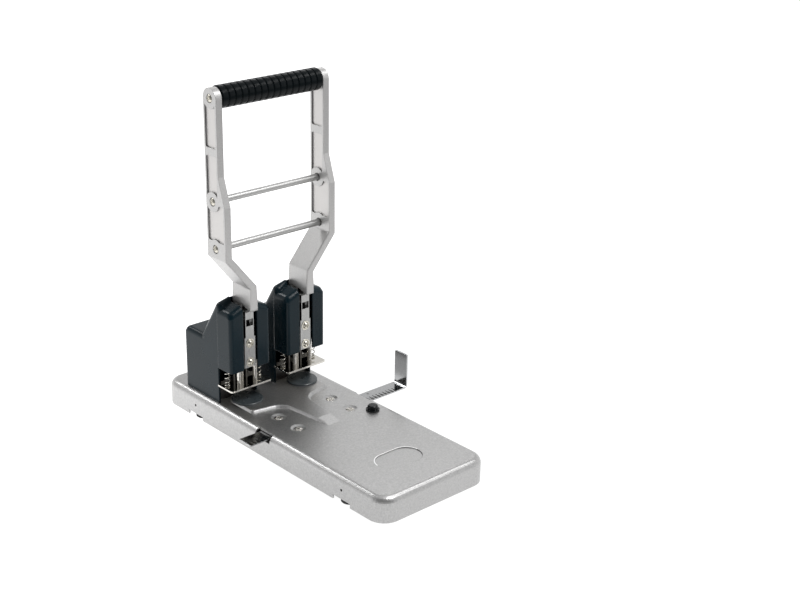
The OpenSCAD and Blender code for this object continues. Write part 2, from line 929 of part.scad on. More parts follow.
// What rounding one front corner of the stripper plate takes away
module stripper_corner(side) {
    translate([side * (stripper_w / 2 - stripper_corner_r), stripper_front_y + stripper_corner_r]) {
        difference() {
            translate([side > 0 ? 0 : -2 * stripper_corner_r, -2 * stripper_corner_r]) square(2 * stripper_corner_r);
            circle(stripper_corner_r);
        }
    }
}

module stripper_screws(side) color("gainsboro") {
    at_head(side) {
        stripper_bolts() {
            translate([0, 0, stripper_z + snug]) cylinder(r = stripper_screw_r, h = stripper_t + jaw_t);
            translate([0, 0, stripper_top_z + jaw_t]) dome_head(stripper_head_r, stripper_head_h);
        }
    }
}

module guide_posts(side) color("gainsboro") {
    top = wing_z + wing_t + post_top;
    at_head(side) {
        for (sx = sides) {
            translate([sx * post_x, post_y, 0]) {
                translate([0, 0, stripper_z]) cylinder(r = post_shank_r, h = stripper_t);
                translate([0, 0, stripper_top_z]) cylinder(r = post_r, h = top - stripper_top_z);
            }
        }
    }
}

module pivot_pin(side) color("gainsboro") {
    at_head(side) {
        x_rod(-frame_half - snug, frame_half + snug, pivot_r, pivot_y, pivot_z);
        for (sx = sides) {
            x0 = sx > 0 ? frame_half + snug : -frame_half - snug - pin_head_t;
            x_rod(x0, x0 + pin_head_t, pin_head_r, pivot_y, pivot_z);
        }
    }
}

// Return springs: one helical tube each

spring_rings = 8;
spring_sides = 6;
spring_mean_r = spring_r - spring_wire_d / 2;
spring_low_z = stripper_top_z + seat_gap + spring_wire_d / 2;
spring_high_z = wing_z - seat_gap - spring_wire_d / 2;
spring_pitch = (spring_high_z - spring_low_z) / spring_curls;

// Centre line of the wire after a number of eighths of a curl
function wire_at(k) =
    let (a = 360 * k / spring_rings)
        [spring_mean_r * cos(a), spring_mean_r * sin(a), spring_low_z + spring_pitch * k / spring_rings];

function wire_ring(k) =
    let (
        a = 360 * k / spring_rings,
        out = [cos(a), sin(a), 0],
        along = unit([-spring_mean_r * sin(a), spring_mean_r * cos(a), spring_pitch / 2 / PI]),
        up = cross(out, along)
    )
        [
            for (j = [0:spring_sides - 1])
                let (f = 360 * j / spring_sides)
                    wire_at(k) + spring_wire_d / 2 * (cos(f) * out + sin(f) * up)
        ];

spring_stations = spring_curls * spring_rings;
spring_points = [for (k = [0:spring_stations]) each wire_ring(k)];
spring_faces = concat(
    [[for (j = [spring_sides - 1:-1:0]) j]],
    [
        for (k = [0:spring_stations - 1], j = [0:spring_sides - 1])
            let (a = k * spring_sides + j, b = k * spring_sides + (j + 1) % spring_sides)
                each [[a, b + spring_sides, a + spring_sides], [a, b, b + spring_sides]]
    ],
    [[for (j = [0:spring_sides - 1]) spring_stations * spring_sides + j]]
);

// Least gap between one curl and the next, on points along the wire
spring_gap = min([
    for (k = [0:spring_rings], m = [k + spring_rings / 2:spring_stations])
        norm(wire_at(m) - wire_at(k)) - spring_wire_d
]);
echo(least_gap_between_spring_curls = spring_gap);

module return_springs(side) color("gainsboro") {
    at_head(side) {
        for (sx = sides) {
            translate([sx * spring_x, spring_y, 0]) polyhedron(spring_points, spring_faces);
        }
    }
}

// Housings

// The column in front, smaller by the distance d all round, down to the height z0.
// Its top falls to both sides
module column_form(d, z0) {
    edge = tower_edge_r - d;
    round_r = column_r - d;
    half = housing_half - d;
    front = tower_front_y + d;
    rear = column_rear_y - d;
    side_z = column_z - column_fall - d - round_r;
    hull() {
        for (sx = sides) {
            translate([sx * (half - edge), front + edge, z0]) cylinder(r = edge, h = side_z - z0, $fn = hull_fn);
            block([sx * half - (sx > 0 ? edge : 0), rear - edge, z0], [sx * half + (sx > 0 ? 0 : edge), rear, side_z]);
            for (p = [[half - round_r, side_z], [slot_w / 2, side_z + column_fall]]) {
                translate([sx * p[0], front + round_r, p[1]]) {
                    sphere(round_r, $fn = hull_fn);
                    rotate([-90, 0, 0]) cylinder(r = round_r, h = rear - front - round_r, $fn = hull_fn);
                }
            }
        }
    }
}

// The tower behind the column with its slope, whose crest falls to both sides
module tower_form(d, z0) {
    edge = tower_edge_r - d;
    round_r = tower_r - d;
    half = body_half - d;
    side_z = tower_z - tower_fall - tower_r;
    hull() {
        for (sx = sides) {
            translate([sx * (half - edge), body_front_y + d + edge, z0]) {
                cylinder(r = edge, h = side_z - edge - z0, $fn = hull_fn);
            }
            translate([sx * (half - round_r), crest_y, side_z]) sphere(round_r, $fn = hull_fn);
            translate([sx * slot_w / 2, crest_y, tower_z - crest_r]) sphere(crest_r - d, $fn = hull_fn / 2);
            translate([sx * (half - edge), slope_foot_y - d - edge, z0]) {
                cylinder(r = edge, h = block_z - d - z0, $fn = hull_fn);
            }
        }
    }
}

// The rear block, smaller by the distance d, from the front y0 and the height z0
module block_form(d, y0, z0) {
    edge = tower_edge_r - d;
    round_r = block_r - d;
    half = body_half - d;
    rear = housing_rear_y - d;
    top = block_z - d;
    hull() {
        for (sx = sides) {
            translate([sx * (half - edge), rear - edge, z0]) {
                cylinder(r = edge, h = top - round_r - z0, $fn = hull_fn);
            }
            translate([sx * (half - round_r), rear - round_r, top - round_r]) sphere(round_r, $fn = hull_fn);
            translate([sx * (half - round_r), slope_foot_y - round_r, top - round_r]) sphere(round_r, $fn = hull_fn);
        }
        block([-half, y0, z0], [half, slope_foot_y - round_r, top - round_r]);
    }
}

module housing(side) color([0.2, 0.22, 0.23]) {
    wall = housing_wall;
    at_head(side) {
        difference() {
            union() {
                column_form(0, tower_low_z);
                tower_form(0, tower_low_z);
                block_form(0, wall_front_y, deck_z);
            }
            column_form(wall, tower_low_z - overrun);
            tower_form(wall, tower_low_z - overrun);
            block_form(wall, wall_front_y - overrun, deck_z - overrun);
            block(
                [-slot_w / 2, tower_front_y - overrun, tower_low_z - overrun],
                [slot_w / 2, slot_rear_y, tower_z + overrun]
            );
        }
    }
}

// Plungers

module plunger(side) color("silver") {
    at_head(side) {
        difference() {
            union() {
                block([-plunger_w / 2, plunger_front_y, plunger_z], [plunger_w / 2, plunger_rear_y, yoke_z]);
                side_extrude(yoke_w / 2) {
                    polygon([
                        [plunger_front_y, yoke_z - wing_t],
                        [yoke_rear_y, yoke_z - wing_t],
                        [yoke_rear_y, yoke_top_z],
                        [plunger_front_y + yoke_chamfer, yoke_top_z],
                        [plunger_front_y, yoke_top_z - yoke_chamfer]
                    ]);
                }
                block([-wing_half, wing_front_y, wing_z], [wing_half, wing_rear_y, wing_z + wing_t]);
                for (sx = sides) {
                    translate([sx * spring_x, spring_y, wing_z]) cylinder(r = spring_cup_r, h = wing_t);
                }
            }
            block(
                [-nose_half - nose_gap, plunger_front_y + yoke_wall, yoke_z],
                [nose_half + nose_gap, yoke_rear_y + overrun, yoke_top_z + overrun]
            );
            block(
                [-yoke_w, plunger_front_y + yoke_wall, pin_z - drive_pin_r - yoke_play],
                [yoke_w, yoke_rear_y + overrun, pin_z + drive_pin_r + yoke_play]
            );
            block(
                [-nose_half - nose_gap, plunger_front_y - overrun, window_z],
                [nose_half + nose_gap, yoke_rear_y, pin_z - drive_pin_r - yoke_play]
            );
            block(
                [-yoke_w / 2 + window_rib, plunger_front_y - overrun, window_z],
                [yoke_w / 2 - window_rib, plunger_front_y + 2 * yoke_wall, pin_z - drive_pin_r - yoke_play]
            );
            translate([0, punch_y, 0]) cylinder(r = cutter_r + snug, h = tower_z);
            for (sx = sides) {
                translate([sx * post_x, post_y, 0]) cylinder(r = post_r + running, h = tower_z);
            }
            for (z = [clamp_low_z, clamp_high_z]) {
                y_rod(
                    plunger_front_y - overrun, plunger_front_y + clamp_shank_l + snug,
                    clamp_shank_r + snug, 0, z
                );
            }
        }
    }
}

module cutter(side) color("gainsboro") {
    at_head(side) {
        translate([0, punch_y, tip_z]) {
            difference() {
                cylinder(r = cutter_r, h = cutter_top_z - tip_z);
                translate([0, 0, -overrun]) cylinder(r = cutter_r - cutter_wall, h = cutter_top_z - tip_z + 2 * overrun);
                translate([0, 0, -snug]) {
                    cylinder(r1 = cutter_r - cutter_wall / 4, r2 = cutter_r - cutter_wall, h = cutter_wall);
                }
            }
        }
    }
}

module clamp_screws(side) color("gainsboro") {
    at_head(side) {
        for (z = [clamp_low_z, clamp_high_z]) {
            y_rod(plunger_front_y, plunger_front_y + clamp_shank_l, clamp_shank_r, 0, z);
            translate([0, plunger_front_y, z]) {
                rotate([90, 0, 0]) {
                    cylinder(r = washer_r, h = washer_t);
                    translate([0, 0, washer_t]) dome_head(clamp_head_r, clamp_head_h);
                }
            }
        }
    }
}

// Lever

// Front view of the left arm: a cranked strip that widens at its root
module arm_front_view() {
    top = grip_z + arm_w;
    outer = arm_x + arm_t / 2;
    inner = arm_x - arm_t / 2;
    root_outer = root_x + arm_t / 2;
    root_inner = root_x - arm_t / 2;
    offset(r = bend_r) offset(delta = -bend_r) {
        polygon([
            [-outer, top],
            [-outer, crank_top_z],
            [-root_outer, crank_low_z],
            [-root_x - root_half, root_bevel_z],
            [-root_x - root_half, root_low_z - root_drop - bend_r],
            [-root_x + root_half, root_low_z - root_drop - bend_r],
            [-root_x + root_half, root_bevel_z],
            [-root_inner, crank_low_z],
            [-root_inner, crank_low_z + mitre],
            [-inner, crank_top_z + mitre],
            [-inner, top]
        ]);
    }
}

module arm_side_view() {
    translate([arm_mid_y, grip_z]) circle(arm_w / 2);
    polygon([
        [arm_front_y, grip_z],
        [arm_front_y, taper_top_z],
        [arm_low_front_y, taper_low_z],
        [arm_low_front_y, root_low_z - root_drop],
        [arm_low_front_y + root_drop_l, root_low_z],
        [arm_rear_y, root_low_z],
        [arm_rear_y, grip_z]
    ]);
}

// The link, the hub round the pivot and the nose that holds the drive pin
module arm_root() {
    side_extrude(root_half) {
        translate([pivot_y, pivot_z]) circle(hub_r);
        polygon([
            [link_front_y, pivot_z],
            [pivot_y + hub_r, pivot_z],
            [arm_rear_y, root_low_z + seat_gap],
            [link_front_y, root_low_z + seat_gap]
        ]);
    }
    side_extrude(nose_half) {
        translate([pin_y, pin_z]) circle(nose_r);
        translate([pivot_y, pivot_z]) {
            rotate(180 - lever_swing / 2) translate([0, -nose_r]) square([drive_r, 2 * nose_r]);
        }
    }
}

module arm_bosses() {
    for (p = [[arm_mid_y, grip_z], [arm_mid_y, rod_upper_z], [rod_lower_y, rod_lower_z]]) {
        translate(p) children();
    }
}

// The three shallow panels in a face of an arm, seen from the side
module arm_panels() {
    difference() {
        offset(r = panel_r) offset(delta = -panel_r) {
            translate([arm_front_y + panel_rim, panel_split_z + panel_rib]) {
                square([arm_w - 2 * panel_rim, grip_z - panel_split_z - panel_rib]);
            }
            translate([arm_front_y + panel_rim, rod_upper_z]) {
                square([arm_w - 2 * panel_rim, panel_split_z - panel_rib - rod_upper_z]);
            }
            translate([arm_low_front_y + panel_low_rim, panel_low_z]) {
                square([arm_low_w - panel_low_rim - panel_rim, rod_upper_z - panel_low_z - panel_rim]);
            }
        }
        arm_bosses() circle(boss_r);
    }
}

// The left arm, drawn where it is
module arm_solid() {
    inner_x = arm_t / 2 - arm_x;
    outer_x = -arm_t / 2 - arm_x;
    difference() {
        union() {
            intersection() {
                front_extrude(arm_low_front_y - overrun, arm_rear_y + overrun) arm_front_view();
                side_extrude(arm_spread) arm_side_view();
            }
            translate([-root_x, 0, 0]) arm_root();
        }
        for (x = [inner_x, outer_x]) {
            translate([x, 0, 0]) side_extrude(panel_depth) arm_panels();
        }
        translate([-root_x, 0, 0]) {
            x_rod(-housing_w, housing_w, pivot_r + running, pivot_y, pivot_z);
            x_rod(-housing_w, housing_w, drive_pin_r + snug, pin_y, pin_z);
        }
        rotate([90, 0, 90]) {
            arm_bosses() {
                translate([0, 0, outer_x - overrun]) cylinder(r = arm_bore_r + snug, h = 2 * arm_t);
                translate([0, 0, outer_x - overrun]) cylinder(r = arm_head_r + loose, h = overrun + arm_head_seat);
                translate([0, 0, inner_x - rod_seat]) cylinder(r = rod_seat_r, h = rod_seat + overrun);
            }
        }
    }
}

module arm(side) color([0.82, 0.81, 0.8]) {
    if (side < 0) {
        arm_solid();
    } else {
        mirror([1, 0, 0]) arm_solid();
    }
}

module drive_pin(side) color("gainsboro") {
    half = yoke_w / 2 - seat_gap;
    at_head(side) x_rod(-half, half, drive_pin_r, pin_y, pin_z);
}

// A round bar from one arm to the other with a bore in each end
module lever_bar(r, y, z) {
    half = arm_x - arm_t / 2 + rod_seat;
    difference() {
        x_rod(-half, half, r, y, z);
        for (sx = sides) {
            x0 = sx > 0 ? half - screw_reach : -half - overrun;
            x_rod(x0, x0 + screw_reach + overrun, arm_bore_r + snug, y, z);
        }
    }
}

module rod_upper() color("silver") lever_bar(rod_r, arm_mid_y, rod_upper_z);
module rod_lower() color("silver") lever_bar(rod_r, rod_lower_y, rod_lower_z);
module grip_core() color("gray") {
    half = arm_x - arm_t / 2;
    lever_bar(rod_r, arm_mid_y, grip_z);
    difference() {
        x_rod(-half, half, grip_core_r, arm_mid_y, grip_z);
        x_rod(-half - overrun, half + overrun, rod_r - snug, arm_mid_y, grip_z);
    }
}

// The sleeve: a row of rounded rings with a groove between each two
module grip_sleeve() color([0.1, 0.1, 0.11]) {
    half = arm_x - arm_t / 2 - grip_end_gap;
    ring_l = 2 * half / grip_rings;
    profile = [
        for (i = [0:grip_rings - 1], p = ring_shares)
            [grip_r - grip_groove * p[1], -half + ring_l * (i + p[0])]
    ];
    translate([0, arm_mid_y, grip_z]) {
        rotate([0, 90, 0]) {
            rotate_extrude() {
                polygon(concat([[grip_core_r + snug, -half]], profile, [[grip_core_r + snug, half]]));
            }
        }
    }
}

// Screws through one arm into the bars, with their heads in the outer face
module arm_screws(side) color("gainsboro") {
    face = arm_x + arm_t / 2 - arm_head_seat;
    tip = arm_x - arm_t / 2 + rod_seat - screw_reach + overrun;
    mirror([side > 0 ? 0 : 1, 0, 0]) {
        rotate([90, 0, 90]) {
            arm_bosses() {
                translate([0, 0, tip]) cylinder(r = arm_bore_r, h = face - tip);
                translate([0, 0, face]) dome_head(arm_head_r, arm_head_h);
            }
        }
    }
}

module placed() {
    translate([frame_x, 0, 0]) children();
}

placed() base_cover();
placed() base_floor();
placed() rubber_feet();
placed() deck_screws();
placed() gauge_guide();
placed() gauge_clamp();
placed() gauge_bar();
placed() lock_knob();
placed() lock_stud();
placed() cutting_disc(-1);  // cutting_disc_left
placed() cutting_disc(1);  // cutting_disc_right
placed() head_frame(-1);  // head_frame_left
placed() head_frame(1);  // head_frame_right
placed() frame_screws(-1);  // frame_screws_left
placed() frame_screws(1);  // frame_screws_right
placed() housing(-1);  // housing_left
placed() housing(1);  // housing_right
placed() paper_backstop(-1);  // paper_backstop_left
placed() paper_backstop(1);  // paper_backstop_right
placed() stripper_plate(-1);  // stripper_plate_left
placed() stripper_plate(1);  // stripper_plate_right
placed() stripper_screws(-1);  // stripper_screws_left
placed() stripper_screws(1);  // stripper_screws_right
placed() guide_posts(-1);  // guide_posts_left
placed() guide_posts(1);  // guide_posts_right
placed() return_springs(-1);  // return_springs_left
placed() return_springs(1);  // return_springs_right
placed() pivot_pin(-1);  // pivot_pin_left
placed() pivot_pin(1);  // pivot_pin_right
placed() plunger(-1);  // plunger_left
placed() plunger(1);  // plunger_right
placed() cutter(-1);  // cutter_left
placed() cutter(1);  // cutter_right
placed() clamp_screws(-1);  // clamp_screws_left
placed() clamp_screws(1);  // clamp_screws_right
placed() arm(-1);  // arm_left
placed() arm(1);  // arm_right
placed() drive_pin(-1);  // drive_pin_left
placed() drive_pin(1);  // drive_pin_right
placed() rod_upper();
placed() rod_lower();
placed() grip_core();
placed() grip_sleeve();
placed() arm_screws(-1);  // arm_screws_left
placed() arm_screws(1);  // arm_screws_right
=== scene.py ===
# Looks of a heavy duty hole punch: finishes of its parts, wound return springs, studio light and camera

import math

import bmesh
import bpy
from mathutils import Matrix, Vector


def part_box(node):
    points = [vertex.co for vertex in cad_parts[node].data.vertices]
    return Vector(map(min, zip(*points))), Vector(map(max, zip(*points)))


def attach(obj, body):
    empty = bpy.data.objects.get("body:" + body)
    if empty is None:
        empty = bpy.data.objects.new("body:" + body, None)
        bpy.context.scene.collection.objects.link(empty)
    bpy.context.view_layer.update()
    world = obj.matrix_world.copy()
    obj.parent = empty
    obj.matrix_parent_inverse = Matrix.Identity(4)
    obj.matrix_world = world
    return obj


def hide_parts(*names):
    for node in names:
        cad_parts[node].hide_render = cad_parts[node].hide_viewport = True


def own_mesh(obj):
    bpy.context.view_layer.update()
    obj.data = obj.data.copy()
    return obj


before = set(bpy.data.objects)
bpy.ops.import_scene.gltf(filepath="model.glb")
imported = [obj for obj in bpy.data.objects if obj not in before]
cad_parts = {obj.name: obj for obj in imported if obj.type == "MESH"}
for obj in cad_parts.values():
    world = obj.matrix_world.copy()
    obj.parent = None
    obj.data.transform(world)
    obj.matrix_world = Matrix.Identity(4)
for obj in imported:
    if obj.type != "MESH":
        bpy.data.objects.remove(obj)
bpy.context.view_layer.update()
scene = bpy.context.scene


# Middle of a node's box along one axis, where 0 is x, 1 is y and 2 is z
def middle(node, axis):
    low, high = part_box(node)
    return (low[axis] + high[axis]) / 2


base_mid = middle("base_cover", 0)


# Helpers for node materials

# Most values of a noise lie between these two
noise_low = 0.3
noise_high = 0.7


def new_material(name):
    mat = bpy.data.materials.new(name)
    mat.use_nodes = True
    tree = mat.node_tree
    shader = tree.nodes["Principled BSDF"]
    return mat, tree, shader


def link(tree, source, target):
    tree.links.new(source, target)


def add(tree, kind, **inputs):
    item = tree.nodes.new(kind)
    for key, value in inputs.items():
        item.inputs[key].default_value = value
    return item


def noise(tree, scale, detail, stretch=(1, 1, 1)):
    source = tree.nodes.new("ShaderNodeTexCoord")
    mapping = add(tree, "ShaderNodeMapping", Scale=stretch)
    link(tree, source.outputs["Object"], mapping.inputs["Vector"])
    item = add(tree, "ShaderNodeTexNoise", Scale=scale, Detail=detail)
    link(tree, mapping.outputs["Vector"], item.inputs["Vector"])
    return item.outputs["Fac"]


def ramp(tree, value, stops):
    item = tree.nodes.new("ShaderNodeValToRGB")
    band = item.color_ramp
    while len(band.elements) < len(stops):
        band.elements.new(0.5)
    for element, (at, colour) in zip(band.elements, stops):
        element.position = at
        element.color = (*colour, 1)
    link(tree, value, item.inputs["Fac"])
    return item.outputs["Color"]


# Carries a value from one range over to another, and holds it at the ends
def map_range(tree, value, source, target, smooth=False):
    item = tree.nodes.new("ShaderNodeMapRange")
    if smooth:
        item.interpolation_type = "SMOOTHSTEP"
    item.inputs["From Min"].default_value = source[0]
    item.inputs["From Max"].default_value = source[1]
    item.inputs["To Min"].default_value = target[0]
    item.inputs["To Max"].default_value = target[1]
    link(tree, value, item.inputs["Value"])
    return item.outputs["Result"]


def spread(tree, value, low, high):
    return map_range(tree, value, (noise_low, noise_high), (low, high))


def bump(tree, height, strength, distance, under=None):
    item = add(tree, "ShaderNodeBump", Strength=strength, Distance=distance)
    link(tree, height, item.inputs["Height"])
    if under is not None:
        link(tree, under, item.inputs["Normal"])
    return item.outputs["Normal"]


def rounded_edges(tree, radius):
    bevel = add(tree, "ShaderNodeBevel", Radius=radius)
    bevel.samples = 4
    return bevel.outputs["Normal"]


# One math node, whose inputs are numbers or the outputs of other nodes
def math_node(tree, kind, *values):
    item = tree.nodes.new("ShaderNodeMath")
    item.operation = kind
    for socket, value in zip(item.inputs, values):
        if isinstance(value, (int, float)):
            socket.default_value = value
        else:
            link(tree, value, socket)
    return item.outputs["Value"]


def object_xyz(tree):
    source = tree.nodes.new("ShaderNodeTexCoord")
    split = tree.nodes.new("ShaderNodeSeparateXYZ")
    link(tree, source.outputs["Object"], split.inputs["Vector"])
    return [split.outputs[axis] for axis in "XYZ"]


# Distance from the upright plane through the middle of the base
def off_middle(tree, x):
    return math_node(tree, "ABSOLUTE", math_node(tree, "SUBTRACT", x, base_mid))


# Masks are 1 inside and 0 outside, and their product is where all of them hold
def above(tree, value, limit):
    return math_node(tree, "GREATER_THAN", value, limit)


def below(tree, value, limit):
    return math_node(tree, "LESS_THAN", value, limit)


def all_of(tree, *masks):
    result = masks[0]
    for mask in masks[1:]:
        result = math_node(tree, "MULTIPLY", result, mask)
    return result


def between(tree, value, low, high):
    return all_of(tree, above(tree, value, low), below(tree, value, high))


# The colour with a tone laid over it, as strong as the part says
def tinted(tree, colour, part, tone):
    blend = tree.nodes.new("ShaderNodeMix")
    blend.data_type = "RGBA"
    link(tree, part, blend.inputs["Factor"])
    if isinstance(colour, tuple):
        blend.inputs["A"].default_value = (*colour, 1)
    else:
        link(tree, colour, blend.inputs["A"])
    blend.inputs["B"].default_value = (*tone, 1)
    return blend.outputs["Result"]


def flakes(tree, colour, scale, share, tone):
    return tinted(tree, colour, spread(tree, noise(tree, scale, detail=2), 0.0, share), tone)


def grey(level):
    return (level, level, level)


# Metal: wide patches of tone, uneven gloss and a fine grain, with edges rounded where bevel says
def metal(name, colour, rough, vary, grain, grain_strength=0.1, stretch=(1, 1, 1), metallic=1.0,
          bevel=0.0, tint=0.03):
    patch_scale = 18.0
    gloss_scale = 0.35 * grain
    grain_height = 0.00004
    mat, tree, shader = new_material(name)
    low = tuple(c * (1 - tint) for c in colour)
    high = tuple(min(1, c * (1 + tint)) for c in colour)
    patches = ramp(tree, noise(tree, patch_scale, detail=4), [(noise_low, low), (noise_high, high)])
    gloss_noise = noise(tree, gloss_scale, detail=3, stretch=stretch)
    gloss = spread(tree, gloss_noise, rough - vary, rough + vary)
    under = rounded_edges(tree, bevel) if bevel else None
    grain_noise = noise(tree, grain, detail=2, stretch=stretch)
    grains = bump(tree, grain_noise, grain_strength, grain_height, under)
    link(tree, patches, shader.inputs["Base Color"])
    link(tree, gloss, shader.inputs["Roughness"])
    link(tree, grains, shader.inputs["Normal"])
    shader.inputs["Metallic"].default_value = metallic
    return mat


# Moulded plastic or rubber, made up as the metal is
def plastic(name, colour, rough, grain, grain_strength, bevel=0.0, specular=0.5):
    patch_scale = 25.0
    gloss_scale = 60.0
    grain_height = 0.00005
    darkest = 0.9
    lightest = 1.12
    vary = 0.05
    mat, tree, shader = new_material(name)
    low = tuple(c * darkest for c in colour)
    high = tuple(min(1, c * lightest) for c in colour)
    patches = ramp(tree, noise(tree, patch_scale, detail=4), [(noise_low, low), (noise_high, high)])
    gloss = spread(tree, noise(tree, gloss_scale, detail=4), rough - vary, rough + vary)
    under = rounded_edges(tree, bevel) if bevel else None
    grains = bump(tree, noise(tree, grain, detail=2), grain_strength, grain_height, under)
    link(tree, patches, shader.inputs["Base Color"])
    link(tree, gloss, shader.inputs["Roughness"])
    link(tree, grains, shader.inputs["Normal"])
    shader.inputs["Specular IOR Level"].default_value = specular
    return mat


# The lacquered cover: fine silver flakes, and on the rim of the oval recess a painted highlight behind
# and painted shade in front
def deck_material():
    # The recess, its painted highlight line and painted shade line on the rim, how far behind its middle
    # they meet, and the height they stay above
    recess_y = -0.134
    recess_half = 0.011
    rim_r = 0.0171
    painted_highlight_w = 0.0011
    painted_shade_w = 0.0008
    meet_y = 0.002
    rim_low_z = 0.02
    mat = metal("silver_lacquer", colour=(0.455, 0.454, 0.453), rough=0.36, vary=0.03, grain=1300.0,
                grain_strength=0.3, metallic=0.95, tint=0.015)
    tree = mat.node_tree
    base_colour = tree.nodes["Principled BSDF"].inputs["Base Color"]
    colour = base_colour.links[0].from_socket
    colour = flakes(tree, colour, scale=620.0, share=0.25, tone=(0.80, 0.79, 0.78))
    colour = flakes(tree, colour, scale=480.0, share=0.19, tone=grey(0.16))
    x, y, z = object_xyz(tree)
    across = math_node(tree, "SUBTRACT", off_middle(tree, x), recess_half)
    across = math_node(tree, "MAXIMUM", across, 0.0)
    along = math_node(tree, "SUBTRACT", y, recess_y)
    across_squared = math_node(tree, "MULTIPLY", across, across)
    along_squared = math_node(tree, "MULTIPLY", along, along)
    away = math_node(tree, "SQRT", math_node(tree, "ADD", across_squared, along_squared))
    on_deck = above(tree, z, rim_low_z)
    # The light line is a painted highlight on the far rim of the recess, and the dark line is painted
    # shade on its near rim
    painted_highlight_line = between(tree, away, rim_r, rim_r + painted_highlight_w)
    painted_shade_line = between(tree, away, rim_r - painted_shade_w, rim_r)
    painted_highlight_rim = all_of(tree, painted_highlight_line, on_deck, above(tree, along, meet_y))
    painted_shade_rim = all_of(tree, painted_shade_line, on_deck, below(tree, along, meet_y))
    # Lay the painted highlight on the far rim and the painted shade on the near rim
    colour = tinted(tree, colour, painted_highlight_rim, grey(0.95))
    colour = tinted(tree, colour, painted_shade_rim, grey(0.24))
    link(tree, colour, base_colour)
    return mat


# The cast arms: panel floors lighter than the rims, panel walls darkened with painted shade, and bends
# rounder than edges
def alloy_material():
    # Sizes of an arm, and the margins that keep the panel tone and the painted shade of the panel walls
    # off its edges and faces
    arm_half = 0.0040
    arm_w = 0.0228
    arm_low_w = 0.0330
    panel_depth = 0.0015
    edge_margin = 0.0018
    panel_top_z = 0.375
    face_margin = 0.00015
    crank_drop = 0.0100
    narrowing_below = 0.0030
    narrowing_above = 0.0290
    bend_l = 0.0150
    bend_round = 0.0030
    edge_round = 0.0009
    rod_lower_z = middle("rod_lower", 2)
    rod_upper_z = middle("rod_upper", 2)
    narrowing = (rod_upper_z - narrowing_below, rod_upper_z + narrowing_above)
    arm_low, arm_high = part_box("arm_right")
    arm_mid = arm_high[0] - arm_half - base_mid
    arm_rear_y = arm_low[1] + arm_low_w
    crank_top_z = rod_lower_z - crank_drop
    floor_reach = arm_half - panel_depth + face_margin
    wall_reach = arm_half - face_margin
    mat = metal("die_cast_silver", colour=(0.53, 0.525, 0.52), rough=0.36, vary=0.05, grain=2200.0,
                grain_strength=0.25, metallic=0.62, bevel=edge_round, tint=0.02)
    tree = mat.node_tree
    x, y, z = object_xyz(tree)
    depth = math_node(tree, "ABSOLUTE", math_node(tree, "SUBTRACT", off_middle(tree, x), arm_mid))
    front_low_y = arm_low[1] + edge_margin
    front_high_y = arm_rear_y - arm_w + edge_margin
    front_y = map_range(tree, z, narrowing, (front_low_y, front_high_y))
    rear_y = arm_rear_y - edge_margin
    panel = all_of(tree, between(tree, z, crank_top_z, panel_top_z), between(tree, y, front_y, rear_y))
    floor_part = all_of(tree, panel, below(tree, depth, floor_reach))
    # Painted shade on the panel walls, where the recess lies in shadow
    panel_wall_painted_shade = all_of(tree, panel, between(tree, depth, floor_reach, wall_reach))
    base_colour = tree.nodes["Principled BSDF"].inputs["Base Color"]
    colour = base_colour.links[0].from_socket
    colour = flakes(tree, colour, scale=700.0, share=0.22, tone=grey(0.24))
    colour = tinted(tree, colour, floor_part, (0.58, 0.565, 0.555))
    # The panel walls get painted shade
    colour = tinted(tree, colour, panel_wall_painted_shade, grey(0.16))
    link(tree, colour, base_colour)
    radius = map_range(tree, z, (crank_top_z, crank_top_z + bend_l), (bend_round, edge_round))
    bevel = next(item for item in tree.nodes if item.bl_idname == "ShaderNodeBevel")
    link(tree, radius, bevel.inputs["Radius"])
    return mat


# The gauge bar: steel brushed along its length, with short and long ticks on the top at its front edge
def gauge_material():
    steel = (0.455, 0.46, 0.466)
    ink = grey(0.03)
    brushed = 0.06
    finely_brushed = 0.05
    gloss_scale = 250.0
    gloss_low = 0.12
    gloss_high = 0.20
    line_scale = 900.0
    line_height = 0.00003
    line_strength = 0.08
    edge_round = 0.0003
    face_margin = 0.0012
    stop_l = 0.0126
    gauge_low, gauge_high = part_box("gauge_bar")
    edge_y = gauge_low[1] + edge_round
    mat, tree, shader = new_material("gauge_steel")
    x, y, z = object_xyz(tree)

    def ticks(step, width, reach):
        place = math_node(tree, "FRACT", math_node(tree, "DIVIDE", x, step))
        place = math_node(tree, "MULTIPLY", place, step)
        off_line = math_node(tree, "ABSOLUTE", math_node(tree, "SUBTRACT", place, step / 2))
        return all_of(tree, below(tree, off_line, width / 2), below(tree, y, edge_y + reach))

    short_ticks = ticks(step=0.0025, width=0.0009, reach=0.0040)
    long_ticks = ticks(step=0.005, width=0.0013, reach=0.0078)
    on_top = above(tree, z, gauge_low[2] + face_margin)
    before_stop = below(tree, x, gauge_high[0] - stop_l)
    marks = all_of(tree, math_node(tree, "MAXIMUM", short_ticks, long_ticks), on_top, before_stop)
    gloss_noise = noise(tree, gloss_scale, detail=3, stretch=(brushed, 1, 1))
    gloss = spread(tree, gloss_noise, gloss_low, gloss_high)
    line_noise = noise(tree, line_scale, detail=2, stretch=(finely_brushed, 1, 1))
    lines = bump(tree, line_noise, line_strength, line_height, rounded_edges(tree, edge_round))
    shader.inputs["Metallic"].default_value = 1
    shader.inputs["Base Color"].default_value = (*steel, 1)
    link(tree, tinted(tree, steel, marks, ink), shader.inputs["Base Color"])
    link(tree, gloss, shader.inputs["Roughness"])
    link(tree, lines, shader.inputs["Normal"])
    return mat


